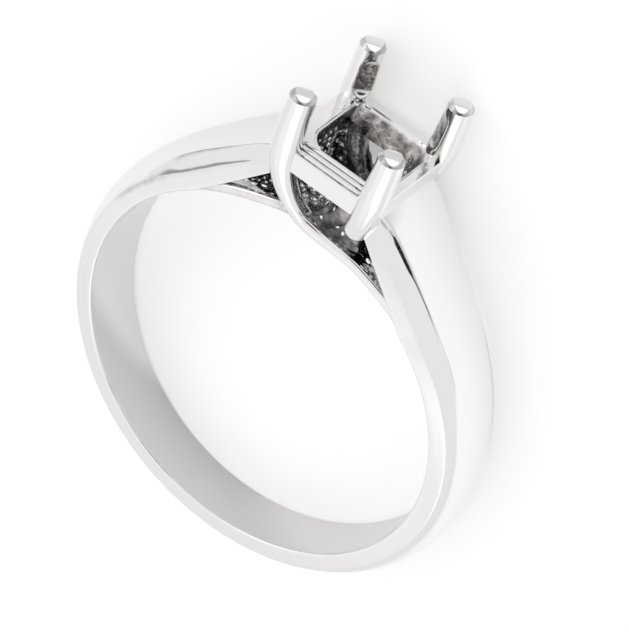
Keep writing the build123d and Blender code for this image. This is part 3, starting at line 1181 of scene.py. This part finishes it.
# and these, at the seat's left and right, don't
SINGLE_PATCHES = (
    (0.26, 0.10, ((-2.1, 12.25, -1.5), (-1.5, 12.25, -2.15), (-1.2, 12.25, -2.2), (-2.0, 12.25, -1.2))),
    (0.30, 0.09, ((2.20, 12.23, -2.1), (2.45, 12.23, -2.1), (2.45, 12.23, -0.7), (2.20, 12.23, -0.7))),
)


def patch(corners):
    """A flat four-cornered patch of points in the ring's frame."""
    mesh = bpy.data.meshes.new("patch")
    mesh.from_pydata([Vector(corner) for corner in corners], [], [tuple(range(len(corners)))])
    return mesh


def joined(meshes):
    """One mesh of several."""
    whole = bmesh.new()
    for mesh in meshes:
        whole.from_mesh(mesh)
    made = bpy.data.meshes.new("cast_lumps")
    whole.to_mesh(made)
    whole.free()
    return made


def lumps_on(patches, first_seed):
    """The lumps of several patches, each with a seed of its own."""
    made = []
    for seed, (gap, size, corners) in enumerate(patches, first_seed):
        given = {"Density": LUMP_DENSITY, "Gap": gap, "Size": size, "Seed": seed, "Metal": polished}
        made.append(grown(patch(corners), lumps_tree, **given))
    return joined(made)


paired_lumps = grown(lumps_on(PAIRED_PATCHES, 1), turned_copies, Copies=2, Metal=polished)
lumps_mesh = joined([paired_lumps, lumps_on(SINGLE_PATCHES, 21)])
print("lumps", len(lumps_mesh.vertices) // LUMP_POINTS)
finish_piece("cast_lumps", lumps_mesh, polished, HEAD_PLACE)

# %% [markdown]
# ## Studio
# A mirror shows nothing but its room, so the studio is half of the finish. Here it is a light table under
# the ring and a white tent round it. The table glows like opal acrylic lit from below, and the camera sees
# it evenly bright. Where the polished metal looks down, it mirrors a glow painted with shade: it fades
# close to the ring and far out, and inside the ring it paints shade on the wall of the finger hole. Area
# lamps could do the same, but each would show in the mirror as a box.

# %% Table
TABLE_HALF = 0.5
TABLE_GREY = "#E4E4E4"
# the glow that the camera sees, and the painted glow that the metal mirrors left and right of the ring and
# inside it
GLOW_SEEN = 0.36
GLOW_LEFT, GLOW_RIGHT = 0.27, 0.35
GLOW_IN_RING = 0.20

table_mesh = bpy.data.meshes.new("table")
corners = [(x * TABLE_HALF, y * TABLE_HALF, 0) for x, y in ((-1, -1), (1, -1), (1, 1), (-1, 1))]
table_mesh.from_pydata(corners, [], [(0, 1, 2, 3)])
table = bpy.data.objects.new("table", table_mesh)
table.location.z = cad_low.z
bpy.context.scene.collection.objects.link(table)
print("table", 2 * TABLE_HALF, "m wide, at height", round(table.location.z, 4))


# %% Table light
def painted_glow_table():
    """A table that the camera sees evenly bright, while the metal mirrors a glow painted with shade round
    the ring.
    """
    acrylic = bpy.data.materials.new("table_with_painted_glow")
    acrylic.use_nodes = True
    tree = acrylic.node_tree
    tree.nodes.clear()
    place = node(tree, "ShaderNodeTexCoord").outputs["Object"]
    middle = (bore_centre.x, bore_centre.y, 0)
    reach = node(tree, "ShaderNodeVectorMath", {0: place, 1: middle}, operation="DISTANCE").outputs["Value"]
    sides = node(tree, "ShaderNodeSeparateXYZ", {0: place}).outputs
    # soft ramps along a length: from a place in millimetres and what it gives there, to another
    ramps = {
        "left": (sides["X"], (-6.2, GLOW_IN_RING), (-4.6, 0.0)),
        "right": (sides["X"], (-0.5, 0.0), (3.0, 0.8 * GLOW_IN_RING)),
        "inside": (reach, (8.9, 1.0), (9.3, 0.0)),
        "outside": (sides["X"], (-8, GLOW_LEFT), (8, GLOW_RIGHT)),
        "near": (reach, (9.0, 0.1), (9.9, 1.0)),
        "ahead": (sides["Y"], (12, 1.0), (16, 0.1)),
        "behind": (sides["Y"], (-14, 0.4), (-9, 1.0)),
    }
    share = {}
    for label, (length, (start, low), (end, high)) in ramps.items():
        ends = {"From Min": start / 1000, "From Max": end / 1000, "To Min": low, "To Max": high}
        ramp = {"Value": length, **ends}
        ramp = node(tree, "ShaderNodeMapRange", ramp, interpolation_type="SMOOTHSTEP")
        share[label] = ramp.outputs[0]
    steps = (
        ("left", "right", "ADD", "in ring"),
        ("in ring", "inside", "MULTIPLY", "in ring"),
        ("outside", "near", "MULTIPLY", "round ring"),
        ("round ring", "ahead", "MULTIPLY", "round ring"),
        ("round ring", "behind", "MULTIPLY", "round ring"),
        ("in ring", "round ring", "ADD", "on metal"),
    )
    for first, second, operation, label in steps:
        pair = {0: share[first], 1: share[second]}
        share[label] = node(tree, "ShaderNodeMath", pair, operation=operation).outputs[0]
    # camera rays see an even glow, and the metal's reflections see the painted one
    direct = node(tree, "ShaderNodeLightPath").outputs["Is Camera Ray"]
    glow = {"Factor": direct, "A": share["on metal"], "B": GLOW_SEEN}
    glow = used(node(tree, "ShaderNodeMix", glow, data_type="FLOAT").outputs, "Result")
    look = {
        "Base Color": linear(TABLE_GREY),
        "Roughness": 0.9,
        "Emission Color": linear("#FFFFFF"),
        "Emission Strength": glow,
    }
    shader = node(tree, "ShaderNodeBsdfPrincipled", look)
    node(tree, "ShaderNodeOutputMaterial", {"Surface": shader.outputs[0]})
    print(acrylic.name, "with", len(ramps), "ramps")
    return acrylic


table_mesh.materials.append(painted_glow_table())
table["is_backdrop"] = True

# %% [markdown]
# The tent could be lamps round the ring, but their hard edges would draw boxes on the metal. A tent has
# none: it is one bright shell with a few soft stretches that are brighter or darker, so the world alone
# makes it, and nothing in it follows the camera. The dark stretches draw the lines along the shoulders
# and the edges of the prongs, and the bright ones lift the prongs that turn towards them.

# %% Room
# middle as azimuth and elevation, half width, half height and softness, in degrees, and what it adds
TENT_LIGHT = 0.89
DARKEST = 0.01
ROOM = {
    "front_light": (-60, 38, 8, 8, 16, 0.50),
    "front_left_light": (-110, 42, 10, 8, 14, 0.10),
    "side_light": (156, 44, 12, 8, 14, 0.6),
    "low_dark": (180, 5, 4, 5, 4.5, -0.52),
    "shoulder_dark": (20.5, 27.5, 3, 3, 3.5, -0.98),
    "tip_light": (80, 7, 14, 7, 5, 0.35),
    "camera_stand": (67, 45, 8, 11, 4, -0.9),
    "camera_edge": (47, 44, 9, 8, 16, -0.4),
    "dark_gap": (27, 6, 3, 10, 6, -0.5),
}


def soft_stretch(tree, direction, middle, half_width, half_height, softness):
    """How much of a soft-edged stretch of the room lies in a direction, from 0 to 1."""
    azimuth, elevation = (radians(angle) for angle in middle)
    ahead = Vector((cos(azimuth) * cos(elevation), sin(azimuth) * cos(elevation), sin(elevation)))
    aside = Vector((-sin(azimuth), cos(azimuth), 0))
    inside = None
    for way, reach in ((aside, half_width), (ahead.cross(aside), half_height), (ahead, None)):
        off = {0: direction, 1: way}
        off = node(tree, "ShaderNodeVectorMath", off, operation="DOT_PRODUCT").outputs["Value"]
        # the last of the three only keeps out the stretch's mirror image behind
        ends = {"From Min": 0.0, "From Max": 0.05}
        if reach:
            off = node(tree, "ShaderNodeMath", {0: off}, operation="ABSOLUTE").outputs[0]
            ends = {"From Min": sin(radians(reach + softness)), "From Max": sin(radians(reach))}
        window = {"Value": off, **ends}
        window = node(tree, "ShaderNodeMapRange", window, interpolation_type="SMOOTHSTEP").outputs[0]
        if inside:
            window = node(tree, "ShaderNodeMath", {0: inside, 1: window}, operation="MULTIPLY").outputs[0]
        inside = window
    return inside


def lit_tent():
    """A world that is a white tent with the room's stretches."""
    world = bpy.data.worlds.new("studio_tent")
    world.use_nodes = True
    tree = world.node_tree
    tree.nodes.clear()
    direction = node(tree, "ShaderNodeTexCoord").outputs["Generated"]
    light = TENT_LIGHT
    for azimuth, elevation, half_width, half_height, softness, adds in ROOM.values():
        inside = soft_stretch(tree, direction, (azimuth, elevation), half_width, half_height, softness)
        added = {0: inside, 1: adds, 2: light}
        light = node(tree, "ShaderNodeMath", added, operation="MULTIPLY_ADD").outputs[0]
    light = node(tree, "ShaderNodeMath", {0: light, 1: DARKEST}, operation="MAXIMUM").outputs[0]
    shader = node(tree, "ShaderNodeBackground", {"Color": linear("#FFFFFF"), "Strength": light})
    node(tree, "ShaderNodeOutputWorld", {"Surface": shader.outputs[0]})
    return world


bpy.context.scene.world = lit_tent()
print("room with", len(ROOM), "soft stretches")

# %% [markdown]
# Last comes the picture itself. The default transform greys whites down, as film does. The standard one
# leaves a white tent white.

# %% Picture transform
view_settings = bpy.context.scene.view_settings
view_settings.view_transform = "Standard"
print("picture transform", view_settings.view_transform)

# %% [markdown]
# ## Camera
# The photograph was taken from well above and in front, with a long lens. The camera keeps its place with
# respect to the ring, which now lies down.

# %% Camera
# places in the ring's own frame, in millimetres, and a way up that turns the picture
CAMERA_AT = (61.94, 152.79, 159.30)
CAMERA_TARGET = (0.77, 3.08, 0.0)
CAMERA_UP = (-0.5652, 0.6983, -0.4392)
LENS = 312.6

camera_data = bpy.data.cameras.new("camera")
camera_data.lens = LENS
camera_data.sensor_width = 36
camera_data.clip_start = 0.01
camera_data.clip_end = 10
camera = bpy.data.objects.new("camera", camera_data)
bpy.context.scene.collection.objects.link(camera)
camera.location = PLACE @ Vector(CAMERA_AT)
sight = PLACE @ Vector(CAMERA_AT) - PLACE @ Vector(CAMERA_TARGET)
back = sight.normalized()
up = (PLACE.to_3x3() @ Vector(CAMERA_UP)).normalized()
right = up.cross(back).normalized()
up = back.cross(right)
camera.rotation_mode = "QUATERNION"
camera.rotation_quaternion = Matrix((right, up, back)).transposed().to_quaternion()
bpy.context.scene.camera = camera
print("camera", round(sight.length, 3), "m away, looking down", round(degrees(asin(back.z)), 1), "degrees")

# %% [markdown]
# ## Sizes
# The metal that is seen has to fill the CAD model's box and stay in it, so both boxes are kept.

# %% Sizes
low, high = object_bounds()
past = [1000 * max(below, above) for below, above in zip(cad_low - low, high - cad_high)]
print("past the CAD box in mm", [round(side, 3) for side in past])
